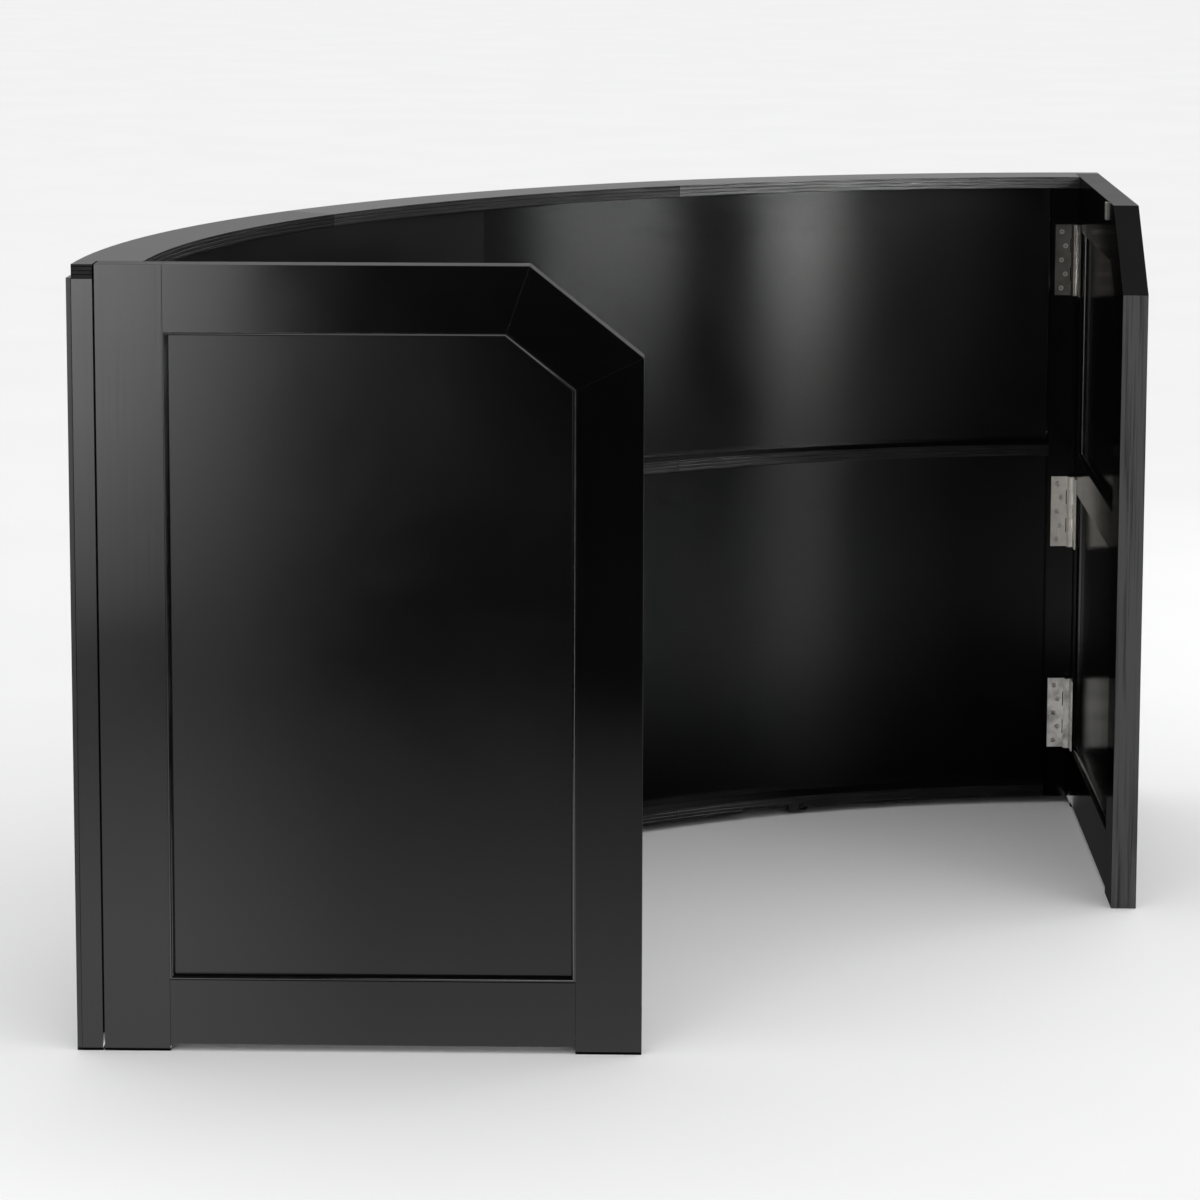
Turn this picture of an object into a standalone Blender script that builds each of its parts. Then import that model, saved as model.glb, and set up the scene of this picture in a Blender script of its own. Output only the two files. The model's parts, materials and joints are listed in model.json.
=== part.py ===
"""Curved folding counter front.

A quarter-round wall of three plywood ribs carries bent skins on both faces and stands
on edge. A framed and panelled wing hangs on three butt hinges at each end of it. The
wings stand square to each other in use and fold in behind the wall for transport.

+Z is up, +Y points at the convex public side, and the object is symmetric about X = 0
but for one cable clip and the seam of the skins, which is a little right of the middle.
The origin is under the middle of the bounding box.
"""

import math

import bmesh
import bpy
from mathutils import Matrix, Vector

# Driving dimensions, in metres and degrees.
HEIGHT = 1.0668
GAP = 0.0003  # clearance between pieces that touch
RIB_RADIUS = 1.524  # outer edge of the ribs, in plan
WALL_DEPTH = 0.0889  # inner to outer edge of a rib
RIB_THICKNESS = 0.019
MIDDLE_RIB_TOP = 0.616
BOTTOM_RIB_LOW = 0.012
OUTER_SKIN = 0.0065
OUTER_SKIN_TOP = HEIGHT - 0.018
INNER_SKIN = 0.0048
INNER_SKIN_RECESS = 0.040  # behind the ribs' inner edge
STUD_WIDTH = 0.038
END_STILE_WIDTH = 0.044
END_POST_DEPTH = 0.027
ARC_STEP = math.radians(1.8)
JOINT_ANGLE = math.radians(14.7)  # where the ribs are jointed, either side of the middle
SEAM_ANGLE = math.radians(0.6)  # where the left and right skins meet

WING_ANGLE = math.radians(45)  # each wing's plane, from the line of symmetry
WING_OFFSET = 0.0575  # from the arc's centre line to the wing's inner face
WING_THICKNESS = 0.0381
WING_WIDTH = 0.724
WING_END_GAP = 0.0025  # between the wing's edge and the end post
WING_FACE_GAP = 0.0005  # between the wing's face and the wall's end
MEMBER_WIDTH = 0.0889
CORNER_RUN, CORNER_DROP = 0.1504, 0.1209  # the cut-off top corner
FOOT_HEIGHT = 0.0095
PANEL_THICKNESS = 0.0127
PANEL_TONGUE = 0.009
MIDDLE_RAIL_LOW, MIDDLE_RAIL_TOP = 0.538, 0.600
CATCH_SIZE = (0.016, 0.0024, 0.027)
CATCH_SETBACK, CATCH_DROP = 0.100, 0.0035

PIN_OFFSET = 0.007  # from the hinge pin's centre to the two faces it is mounted on
PIN_RADIUS, PIN_HEAD_RADIUS = 0.003, 0.0044
KNUCKLE_RADIUS, KNUCKLE_BORE = 0.0062, 0.0033
LEAF_REACH, LEAF_HEIGHT, LEAF_THICKNESS = 0.0318, 0.1185, 0.0024
KNUCKLES = 5
HINGE_LOWS = {"top": 0.869, "middle": 0.4435, "bottom": 0.098}

CLIP_ANGLE = math.radians(23.2)  # round the arc from the line of symmetry
CLIP_DEPTH, CLIP_SETBACK = 0.010, 0.004
CLIP_PAD = (-0.037, -0.013, 0.0042)  # start, end and drop of the pad that is screwed on
CLIP_WEB = 0.0022
CLIP_BLOCK = (-0.001, 0.017, 0.0130)
CLIP_STRIP, CLIP_LIP_CENTRE, CLIP_LIP_RADIUS = 0.0018, 0.029, 0.005
NOTCH_FROM, NOTCH_TO = math.radians(19.7), math.radians(24.1)
NOTCH_HEIGHT = 0.007

# Derived dimensions.
RIB_INNER = RIB_RADIUS - WALL_DEPTH
INNER_FACE = -WING_OFFSET  # of a wing, as an offset from the plane through the arc's centre
OUTER_FACE = INNER_FACE + WING_THICKNESS
WALL_END = INNER_FACE - WING_FACE_GAP
STILE_END = WALL_END - END_STILE_WIDTH
POST_FACE = math.sqrt(RIB_RADIUS**2 - WING_OFFSET**2) - END_POST_DEPTH
WING_FAR_END = POST_FACE - WING_END_GAP
TOP_BAY = (MIDDLE_RIB_TOP + GAP, HEIGHT - RIB_THICKNESS - GAP)
LOW_BAY = (BOTTOM_RIB_LOW + RIB_THICKNESS + GAP, MIDDLE_RIB_TOP - RIB_THICKNESS - GAP)
SKIN_RADIUS = RIB_RADIUS + GAP + OUTER_SKIN
RECESS = (WING_THICKNESS - PANEL_THICKNESS) / 2
LEFT, RIGHT = -1, 1
SIDES = {"left": LEFT, "right": RIGHT}


def angle_at(radius, offset):
    """Angle from the line of symmetry where a circle meets a plane parallel to the wing."""
    return WING_ANGLE + math.asin(offset / radius)


def reach_at(radius, offset):
    """Distance from the arc's centre along the wing's plane to that same point."""
    return math.sqrt(radius**2 - offset**2)


def plan(side, reach, offset):
    """Plan position from a distance along the wing's plane and an offset square to it."""
    x = reach * math.sin(WING_ANGLE) + offset * math.cos(WING_ANGLE)
    y = reach * math.cos(WING_ANGLE) - offset * math.sin(WING_ANGLE)
    return Vector((side * x, y + ARC_CENTRE_Y))


# The wings' free ends and the front of the outer skin are level about Y = 0.
FREE_END_Y = (WING_FAR_END - WING_WIDTH) * math.cos(WING_ANGLE) - OUTER_FACE * math.sin(WING_ANGLE)
ARC_CENTRE_Y = -(FREE_END_Y + SKIN_RADIUS) / 2


def clear_scene():
    for thing in list(bpy.data.objects):
        bpy.data.objects.remove(thing, do_unlink=True)


def new_collection(name):
    collection = bpy.data.collections.new(name)
    bpy.context.scene.collection.children.link(collection)
    return collection


def new_material(name, colour, roughness, metallic):
    material = bpy.data.materials.new(name)
    material.use_nodes = True
    shader = material.node_tree.nodes["Principled BSDF"]
    shader.inputs["Base Color"].default_value = (*colour, 1.0)
    shader.inputs["Roughness"].default_value = roughness
    shader.inputs["Metallic"].default_value = metallic
    material.diffuse_color = (*colour, 1.0)
    return material


def arc(radius, start, end, side=RIGHT):
    """Points along a circle about the arc's centre, angles from the line of symmetry."""
    count = max(1, math.ceil(abs(end - start) / ARC_STEP))
    angles = [start + (end - start) * i / count for i in range(count + 1)]
    return [
        Vector((side * radius * math.sin(a), radius * math.cos(a) + ARC_CENTRE_Y)) for a in angles
    ]


def round_corner(centre, radius, start, end, count=5):
    """Points round a small corner, angles in degrees."""
    angles = [math.radians(start + (end - start) * i / count) for i in range(count + 1)]
    return [Vector((centre[0] + radius * math.cos(a), centre[1] + radius * math.sin(a))) for a in angles]


def mesh_of(thing):
    """The evaluated mesh of an object, welded, with its faces pointing out."""
    graph = bpy.context.evaluated_depsgraph_get()
    mesh = bpy.data.meshes.new_from_object(thing.evaluated_get(graph))
    work = bmesh.new()
    work.from_mesh(mesh)
    bmesh.ops.remove_doubles(work, verts=work.verts, dist=1e-6)
    bmesh.ops.recalc_face_normals(work, faces=work.faces)
    work.to_mesh(mesh)
    work.free()
    return mesh


def outline_mesh(outlines, low, high):
    """A prism on flat outlines, the first the edge and any others holes, between two levels."""
    curve = bpy.data.curves.new("outline", "CURVE")
    curve.dimensions = "2D"
    curve.fill_mode = "BOTH"
    curve.extrude = (high - low) / 2
    for outline in outlines:
        spline = curve.splines.new("POLY")
        spline.points.add(len(outline) - 1)
        for point, (x, y) in zip(spline.points, outline):
            point.co = (x, y, 0, 1)
        spline.use_cyclic_u = True
    flat = bpy.data.objects.new("outline", curve)
    bpy.context.scene.collection.objects.link(flat)
    mesh = mesh_of(flat)
    bpy.data.objects.remove(flat)
    bpy.data.curves.remove(curve)
    mesh.transform(Matrix.Translation((0, 0, (low + high) / 2)))
    return mesh


def add_part(name, mesh, material, parent=None):
    mesh.name = name
    if not mesh.materials:
        mesh.materials.append(material)
    part = bpy.data.objects.new(name, mesh)
    parts.objects.link(part)
    part.parent = parent
    return part


def add_prism(name, outline, low, high, material):
    return add_part(name, outline_mesh([outline], low, high), material)


def cut(part, cutter_mesh, name):
    """Subtracts a hidden cutter that shares the part's frame."""
    cutter_mesh.name = name
    cutter = bpy.data.objects.new(name, cutter_mesh)
    cutters.objects.link(cutter)
    cutter.parent = part.parent
    cutter.location = part.location
    cutter.rotation_euler = part.rotation_euler
    cutter.hide_render = True
    cutter.display_type = "WIRE"
    modifier = part.modifiers.new(name, "BOOLEAN")
    modifier.operation = "DIFFERENCE"
    modifier.solver = "EXACT"
    modifier.object = cutter


def sector(inner, outer, start, end, side=RIGHT):
    """Closed outline between two radii and two angles."""
    return arc(outer, start, end, side) + arc(inner, end, start, side)


def end_at(radius_in, radius_out, start, offset, side):
    """Sector whose far end is cut parallel to the wing's plane."""
    outer = arc(radius_out, start, angle_at(radius_out, offset), side)
    return outer + arc(radius_in, angle_at(radius_in, offset), start, side)


def add_ribs():
    half_gap = GAP / 2 / RIB_INNER
    levels = {
        "top": HEIGHT - RIB_THICKNESS,
        "middle": MIDDLE_RIB_TOP - RIB_THICKNESS,
        "bottom": BOTTOM_RIB_LOW,
    }
    ribs = {}
    for level, low in levels.items():
        high = low + RIB_THICKNESS
        edge = JOINT_ANGLE - half_gap
        centre = sector(RIB_INNER, RIB_RADIUS, -edge, edge)
        add_prism(f"{level}_rib_centre", centre, low, high, ply_paint)
        for name, side in SIDES.items():
            start = JOINT_ANGLE + half_gap
            if level == "top":
                outline = arc(RIB_RADIUS, start, angle_at(RIB_RADIUS, OUTER_FACE), side)
                outline += [plan(side, POST_FACE, OUTER_FACE), plan(side, POST_FACE, WALL_END)]
                outline += arc(RIB_INNER, angle_at(RIB_INNER, WALL_END), start, side)
            else:
                outline = end_at(RIB_INNER, RIB_RADIUS, start, STILE_END - GAP, side)
            ribs[level, name] = add_prism(f"{level}_rib_{name}", outline, low, high, ply_paint)
    notch = sector(RIB_INNER - 0.02, RIB_RADIUS + 0.02, NOTCH_FROM, NOTCH_TO)
    depth = (BOTTOM_RIB_LOW - 0.01, BOTTOM_RIB_LOW + NOTCH_HEIGHT)
    cut(ribs["bottom", "right"], outline_mesh([notch], *depth), "rib_notch_cutter")


def add_skins():
    skin_inner = RIB_INNER + INNER_SKIN_RECESS
    for name, side in SIDES.items():
        seam = side * SEAM_ANGLE + GAP / 2 / RIB_INNER
        outline = end_at(RIB_RADIUS + GAP, SKIN_RADIUS, seam, OUTER_FACE, side)
        add_prism(f"outer_skin_{name}", outline, 0, OUTER_SKIN_TOP, ply_paint)
        outline = end_at(skin_inner, skin_inner + INNER_SKIN, seam, STILE_END - GAP, side)
        add_prism(f"inner_skin_upper_{name}", outline, *TOP_BAY, ply_paint)
        add_prism(f"inner_skin_lower_{name}", outline, *LOW_BAY, ply_paint)


def add_studs():
    inner = RIB_INNER + INNER_SKIN_RECESS + INNER_SKIN + GAP
    outer = RIB_RADIUS - GAP
    half = STUD_WIDTH / 2 / RIB_RADIUS
    places = {"left": -JOINT_ANGLE, "centre": SEAM_ANGLE, "right": JOINT_ANGLE}
    for name, angle in places.items():
        outline = sector(inner, outer, angle - half, angle + half)
        add_prism(f"stud_upper_{name}", outline, *TOP_BAY, bare_wood)
        add_prism(f"stud_lower_{name}", outline, *LOW_BAY, bare_wood)


def add_wall_ends():
    top = HEIGHT - RIB_THICKNESS - GAP
    for name, side in SIDES.items():
        post = arc(
            RIB_RADIUS, angle_at(RIB_RADIUS, STILE_END), angle_at(RIB_RADIUS, OUTER_FACE), side
        )
        post += [plan(side, POST_FACE, OUTER_FACE), plan(side, POST_FACE, STILE_END)]
        add_prism(f"end_post_{name}", post, 0, top, frame_paint)
        stile = [
            plan(side, POST_FACE - GAP, STILE_END),
            plan(side, POST_FACE - GAP, WALL_END),
            plan(side, reach_at(RIB_INNER, WALL_END), WALL_END),
            plan(side, reach_at(RIB_INNER, STILE_END), STILE_END),
        ]
        add_prism(f"end_stile_{name}", stile, BOTTOM_RIB_LOW, top, frame_paint)


def add_cable_clip():
    """A hooked clip in the notch under the bottom rib: pad, web, block and upturned lip."""
    ceiling = BOTTOM_RIB_LOW + NOTCH_HEIGHT - GAP
    pad_start, pad_end, pad_drop = CLIP_PAD
    block_start, block_end, block_drop = CLIP_BLOCK
    base = ceiling - block_drop
    lip_centre = (CLIP_LIP_CENTRE, base + CLIP_LIP_RADIUS)
    outline = [
        Vector((pad_start, ceiling)),
        Vector((pad_start, ceiling - pad_drop)),
        Vector((pad_end, ceiling - pad_drop)),
        Vector((pad_end, ceiling - CLIP_WEB)),
        Vector((block_start, ceiling - CLIP_WEB)),
        Vector((block_start, base)),
    ]
    outline += round_corner(lip_centre, CLIP_LIP_RADIUS, -90, 0)
    outline += round_corner(lip_centre, CLIP_LIP_RADIUS - CLIP_STRIP, 0, -90)
    outline += [Vector((block_end, base + CLIP_STRIP)), Vector((block_end, ceiling))]
    mesh = outline_mesh([outline], -CLIP_DEPTH / 2, CLIP_DEPTH / 2)
    mesh.transform(Matrix.Rotation(math.pi / 2, 4, "X"))
    clip = add_part("cable_clip", mesh, clip_plastic)
    radius = RIB_INNER + CLIP_SETBACK + CLIP_DEPTH / 2
    across, along = radius * math.sin(CLIP_ANGLE), radius * math.cos(CLIP_ANGLE)
    clip.location = (across, along + ARC_CENTRE_Y, 0)
    clip.rotation_euler = (0, 0, -CLIP_ANGLE)


def hinge_frame(side):
    """Pin position in plan, the end stile's face direction and the wing's direction."""
    near = plan(side, reach_at(RIB_INNER, WALL_END), WALL_END)
    far = plan(side, reach_at(RIB_INNER, STILE_END), STILE_END)
    along_wall = (far - near).normalized()
    along_wing = (plan(side, 0, 0) - plan(side, 1, 0)).normalized()
    into_bay = Vector((-along_wall.y, along_wall.x)) * side
    # The pin is PIN_OFFSET off the wing's inner face and off the end stile's face.
    on_wing = plan(side, 0, INNER_FACE - PIN_OFFSET)
    shift = PIN_OFFSET - (on_wing - near).dot(into_bay)
    pin = on_wing + along_wing * (shift / along_wing.dot(into_bay))
    return pin, along_wall, along_wing


def leaf_outline(hand):
    """Section through a leaf: a flat plate that runs into the knuckle round the pin."""
    back = GAP - PIN_OFFSET
    front = back + LEAF_THICKNESS
    meet = math.degrees(math.atan2(front, math.sqrt(KNUCKLE_RADIUS**2 - front**2)))
    edge = [Vector((LEAF_REACH, back)), Vector((LEAF_REACH, front))]
    edge += round_corner((0, 0), KNUCKLE_RADIUS, meet, 250, 18)
    edge += [Vector((-0.0012, back))]
    bore = round_corner((0, 0), KNUCKLE_BORE, 0, 330, 11)
    return [[Vector((p.x, hand * p.y)) for p in ring] for ring in (edge, bore)]


def leaf_mesh(name, hand, cleared):
    """A hinge leaf with the other leaf's knuckles cleared away."""
    body = bpy.data.objects.new(name, outline_mesh(leaf_outline(hand), 0, LEAF_HEIGHT))
    bpy.context.scene.collection.objects.link(body)
    pitch = LEAF_HEIGHT / KNUCKLES
    reach = KNUCKLE_RADIUS + 0.0007
    for index in cleared:
        low = index * pitch - GAP / 2 if index else -0.01
        high = (index + 1) * pitch + GAP / 2 if index < KNUCKLES - 1 else LEAF_HEIGHT + 0.01
        box = [Vector(p) for p in ((-0.02, -0.02), (reach, -0.02), (reach, 0.02), (-0.02, 0.02))]
        cut(body, outline_mesh([box], low, high), f"{name}_cutter_{index}")
    mesh = mesh_of(body)
    for modifier in list(body.modifiers):
        bpy.data.objects.remove(modifier.object)
    bpy.data.objects.remove(body)
    return mesh


def pin_mesh():
    """A turned pin with a domed head, standing on the XY plane."""
    top = LEAF_HEIGHT + GAP
    profile = [
        (0, top + 0.0024),
        (PIN_HEAD_RADIUS * 0.55, top + 0.0021),
        (PIN_HEAD_RADIUS * 0.9, top + 0.0012),
        (PIN_HEAD_RADIUS, top),
        (PIN_RADIUS, top),
        (PIN_RADIUS, -0.0014),
        (PIN_RADIUS * 0.6, -0.0022),
        (0, -0.0022),
    ]
    mesh = bpy.data.meshes.new("pin_profile")
    edges = [(i, i + 1) for i in range(len(profile) - 1)]
    mesh.from_pydata([(radius, 0, z) for radius, z in profile], edges, [])
    turned = bpy.data.objects.new("pin_profile", mesh)
    bpy.context.scene.collection.objects.link(turned)
    screw = turned.modifiers.new("turn", "SCREW")
    screw.steps = screw.render_steps = 14
    screw.use_merge_vertices = True
    screw.merge_threshold = 1e-5
    made = mesh_of(turned)
    bpy.data.objects.remove(turned)
    return made


def heading(direction):
    return math.atan2(direction.y, direction.x)


def add_hinges(wings):
    middle_knuckles = [1, 3]
    outer_knuckles = [0, 2, 4]
    pin_shape = pin_mesh()
    for name, side in SIDES.items():
        pin, along_wall, along_wing = hinge_frame(side)
        wall_leaf = leaf_mesh(f"{name}_wall_leaf", side, middle_knuckles)
        wing_leaf = leaf_mesh(f"{name}_wing_leaf", -side, outer_knuckles)
        for place, low in HINGE_LOWS.items():
            fixed = add_part(f"{name}_{place}_hinge_wall_leaf", wall_leaf, steel)
            fixed.location = (pin.x, pin.y, low)
            fixed.rotation_euler = (0, 0, heading(along_wall))
            rod = add_part(f"{name}_{place}_hinge_pin", pin_shape, steel)
            rod.location = (pin.x, pin.y, low)
            swinging = add_part(f"{name}_{place}_hinge_wing_leaf", wing_leaf, steel, wings[side])
            swinging.location = (0, 0, low)


def wing_axes():
    """An empty on each hinge axis, its X axis along the wing towards the free edge."""
    empties = {}
    for name, side in SIDES.items():
        pin, _, along_wing = hinge_frame(side)
        empty = bpy.data.objects.new(f"{name}_wing_axis", None)
        parts.objects.link(empty)
        empty.location = (pin.x, pin.y, 0)
        empty.rotation_euler = (0, 0, heading(along_wing))
        empties[side] = empty
    return empties


def frame_corners(inset):
    """The wing's outline with its cut-off corner, moved in by the same width all round."""
    slant = math.hypot(CORNER_RUN, CORNER_DROP)
    top, free = HEIGHT - inset, WING_WIDTH - inset
    along_top = WING_WIDTH - CORNER_RUN - inset * (slant - CORNER_RUN) / CORNER_DROP
    down_side = HEIGHT - CORNER_DROP - inset * (slant - CORNER_DROP) / CORNER_RUN
    low = inset + FOOT_HEIGHT if inset else 0
    return {
        "hinge_low": Vector((inset, low)),
        "free_low": Vector((free, low)),
        "free_high": Vector((free, down_side)),
        "top_free": Vector((along_top, top)),
        "top_hinge": Vector((inset, top)),
    }


def add_wing(name, side, axis):
    """Frame members and panel, upright from flat outlines drawn along the wing."""
    pin, _, along_wing = hinge_frame(side)
    hinge_edge = (plan(side, WING_FAR_END, 0) - pin).dot(along_wing)

    def board(piece, outline, face_in, face_out, material):
        """Outline in the wing's plane, between two depths from its inner face."""
        mesh = outline_mesh([outline], PIN_OFFSET + face_in, PIN_OFFSET + face_out)
        upright = Matrix(((1, 0, 0, hinge_edge), (0, 0, side, 0), (0, 1, 0, 0), (0, 0, 0, 1)))
        mesh.transform(upright)
        if side == RIGHT:
            mesh.flip_normals()
        return add_part(f"{name}_wing_{piece}", mesh, material, axis)

    outer = frame_corners(0)
    inner = frame_corners(MEMBER_WIDTH)
    along, down = Vector((GAP, 0)), Vector((0, GAP))
    near, far = MEMBER_WIDTH + GAP, WING_WIDTH - MEMBER_WIDTH - GAP
    rail_low, rail_top = FOOT_HEIGHT, FOOT_HEIGHT + MEMBER_WIDTH
    members = {
        "hinge_stile": [(0, 0), (MEMBER_WIDTH, 0), (MEMBER_WIDTH, HEIGHT), (0, HEIGHT)],
        "free_stile": [
            (WING_WIDTH - MEMBER_WIDTH, 0),
            (WING_WIDTH, 0),
            outer["free_high"] - down,
            inner["free_high"] - down,
        ],
        "top_rail": [
            (near, HEIGHT - MEMBER_WIDTH),
            inner["top_free"] - along,
            outer["top_free"] - along,
            (near, HEIGHT),
        ],
        "corner_rail": [
            inner["top_free"],
            inner["free_high"],
            outer["free_high"],
            outer["top_free"],
        ],
        "bottom_rail": [(near, rail_low), (far, rail_low), (far, rail_top), (near, rail_top)],
    }
    groove = list(frame_corners(MEMBER_WIDTH - PANEL_TONGUE - GAP).values())
    groove_depths = (RECESS - GAP, RECESS + PANEL_THICKNESS + GAP)
    for piece, outline in members.items():
        member = board(piece, outline, 0, WING_THICKNESS, frame_paint)
        cutter = board(f"{piece}_groove", groove, *groove_depths, frame_paint)
        as_cutter(member, cutter)
    panel = list(frame_corners(MEMBER_WIDTH - PANEL_TONGUE).values())
    board("panel", panel, RECESS, RECESS + PANEL_THICKNESS, ply_paint)
    rail = [
        (near, MIDDLE_RAIL_LOW),
        (far, MIDDLE_RAIL_LOW),
        (far, MIDDLE_RAIL_TOP),
        (near, MIDDLE_RAIL_TOP),
    ]
    board("middle_rail", rail, 0, RECESS - GAP, frame_paint)
    width, thickness, tall = CATCH_SIZE
    start = outer["top_free"].x - CATCH_SETBACK
    high = HEIGHT - CATCH_DROP
    plate = [(start, high - tall), (start + width, high - tall), (start + width, high), (start, high)]
    board("catch_plate", plate, -GAP - thickness, -GAP, steel)


def as_cutter(part, tool):
    """Moves an object to the cutters and subtracts it from the part."""
    parts.objects.unlink(tool)
    cutters.objects.link(tool)
    tool.hide_render = True
    tool.display_type = "WIRE"
    modifier = part.modifiers.new(tool.name, "BOOLEAN")
    modifier.operation = "DIFFERENCE"
    modifier.solver = "EXACT"
    modifier.object = tool


clear_scene()
parts = new_collection("curved_counter_front")
cutters = new_collection("cutters")
cutters.hide_render = True
ply_paint = new_material("painted_plywood", (0.012, 0.012, 0.013), 0.32, 0.0)
frame_paint = new_material("painted_frame", (0.014, 0.014, 0.015), 0.36, 0.0)
bare_wood = new_material("bare_pine", (0.50, 0.35, 0.20), 0.7, 0.0)
steel = new_material("hinge_steel", (0.56, 0.54, 0.50), 0.32, 1.0)
clip_plastic = new_material("clip_black", (0.015, 0.015, 0.015), 0.45, 0.0)

add_ribs()
add_skins()
add_studs()
add_wall_ends()
add_cable_clip()
wing_empties = wing_axes()
for wing_name, wing_side in SIDES.items():
    add_wing(wing_name, wing_side, wing_empties[wing_side])
add_hinges(wing_empties)
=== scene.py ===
"""Looks of the curved folding counter front: paint, hinges, mouldings, light and camera.

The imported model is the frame, in metres, +Z up and +Y towards the convex public side.
Each wing is drawn in a frame of its own: U runs from the hinge pin along the wing to its
free edge, V points out of its public face, and Z is up.
"""

import json
import math
from typing import NamedTuple

import bmesh
import bpy
from mathutils import Matrix, Vector


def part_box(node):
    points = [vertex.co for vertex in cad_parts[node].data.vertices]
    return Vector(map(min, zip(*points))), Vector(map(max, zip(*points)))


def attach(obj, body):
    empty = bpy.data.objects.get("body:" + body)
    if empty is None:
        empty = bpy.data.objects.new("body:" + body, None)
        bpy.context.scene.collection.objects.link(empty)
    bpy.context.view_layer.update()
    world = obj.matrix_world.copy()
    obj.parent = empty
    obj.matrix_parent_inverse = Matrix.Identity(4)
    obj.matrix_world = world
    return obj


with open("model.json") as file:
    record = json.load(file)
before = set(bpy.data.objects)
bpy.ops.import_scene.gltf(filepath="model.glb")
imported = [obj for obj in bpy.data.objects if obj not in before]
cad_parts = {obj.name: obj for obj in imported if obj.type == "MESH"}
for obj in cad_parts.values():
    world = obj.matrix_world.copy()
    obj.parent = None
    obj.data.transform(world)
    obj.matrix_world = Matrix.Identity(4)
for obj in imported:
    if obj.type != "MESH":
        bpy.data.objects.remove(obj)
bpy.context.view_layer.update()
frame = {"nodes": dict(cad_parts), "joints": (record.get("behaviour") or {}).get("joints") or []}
SIDES = {"left": -1, "right": 1}
THIRDS = ("left", "centre", "right")
LEVELS = ("top", "middle", "bottom")  # of the ribs and of the hinges
UP = (0, 0, 1)

# The wings' planes stand at this angle to the line of symmetry.
WING_ANGLE = math.radians(45)
DIAGONAL = 0.7071

# Mouldings and fastenings that are only part of the looks, in metres.
BEAD_WIDTH, BEAD_RISE, BEAD_LAND = 0.0060, 0.0098, 0.0012
BEAD_SPLIT = math.radians(35)
COVE_RADIUS, COVE_INSET = 0.006, 0.0005
ARC_STEPS = 6  # to a quarter round
SCREW_RADIUS, SCREW_PROUD, SCREW_SINK = 0.0042, 0.0007, 0.0014
SCREW_ROWS = (0.0215, 0.0150)
SCREWS_PER_LEAF = 5
SCREW_SPOKES = 28
SCREW_SPLIT = math.radians(30)
SLOT_REACH, SLOT_HALF = SCREW_RADIUS * 0.56, SCREW_RADIUS * 0.13
SLOT_DEPTH, SLOT_TAPER = 0.0010, 0.8
FIRST_SLOT_TURN, SLOT_TURN = 0.4, 1.1  # radians
LEAF_END_MARGIN = 0.0120
LEAF_REACH, LEAF_FRONT = 0.0318, 0.0043

# How the CAD's edges are eased, in metres and radians.
EDGE_SOFTNESS = {"board": 0.0002, "ply": 0.0004, "steel": 0.0003}
EASED_ABOVE, FLAT_BELOW = math.radians(30), math.radians(0.4)
WELD_DISTANCE, MERGE_DISTANCE, TOUCHING = 0.00001, 1e-7, 0.001

# Camera, as worked out from the object's outline in the view.
CAMERA_PLACE = (-4.104, -4.124, 1.622)
CAMERA_HEADING, CAMERA_TILT, CAMERA_ROLL = -43.84, -7.58, 0.147
CAMERA_LENS, CAMERA_SENSOR, CAMERA_SHIFT_Y, CAMERA_FAR = 117.4, 36.0, -0.20, 200.0


# ---------------------------------------------------------------- node helpers

NOISE_SPAN = (0.3, 0.7)  # where most of a noise texture's values lie


class Tree:
    """A short way to build a node tree."""

    def __init__(self, tree):
        self.tree = tree

    def add(self, kind, links=None, **settings):
        node = self.tree.nodes.new(kind)
        for key, value in settings.items():
            setattr(node, key, value)
        for socket, value in (links or {}).items():
            self.feed(node.inputs[socket], value)
        return node

    def feed(self, socket, value):
        if isinstance(value, bpy.types.NodeSocket):
            self.tree.links.new(value, socket)
        else:
            socket.default_value = value

    def remap(self, value, low, high, to_low=0.0, to_high=1.0, **settings):
        sockets = {
            "Value": value,
            "From Min": low,
            "From Max": high,
            "To Min": to_low,
            "To Max": to_high,
        }
        return self.add("ShaderNodeMapRange", sockets, **settings).outputs["Result"]

    def math(self, operation, first, second=0.0):
        return self.add("ShaderNodeMath", {0: first, 1: second}, operation=operation).outputs[0]

    def dot(self, vector, axis):
        node = self.add("ShaderNodeVectorMath", {0: vector, 1: axis}, operation="DOT_PRODUCT")
        return node.outputs["Value"]

    def height(self, vector):
        return self.add("ShaderNodeSeparateXYZ", {0: vector}).outputs["Z"]


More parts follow.
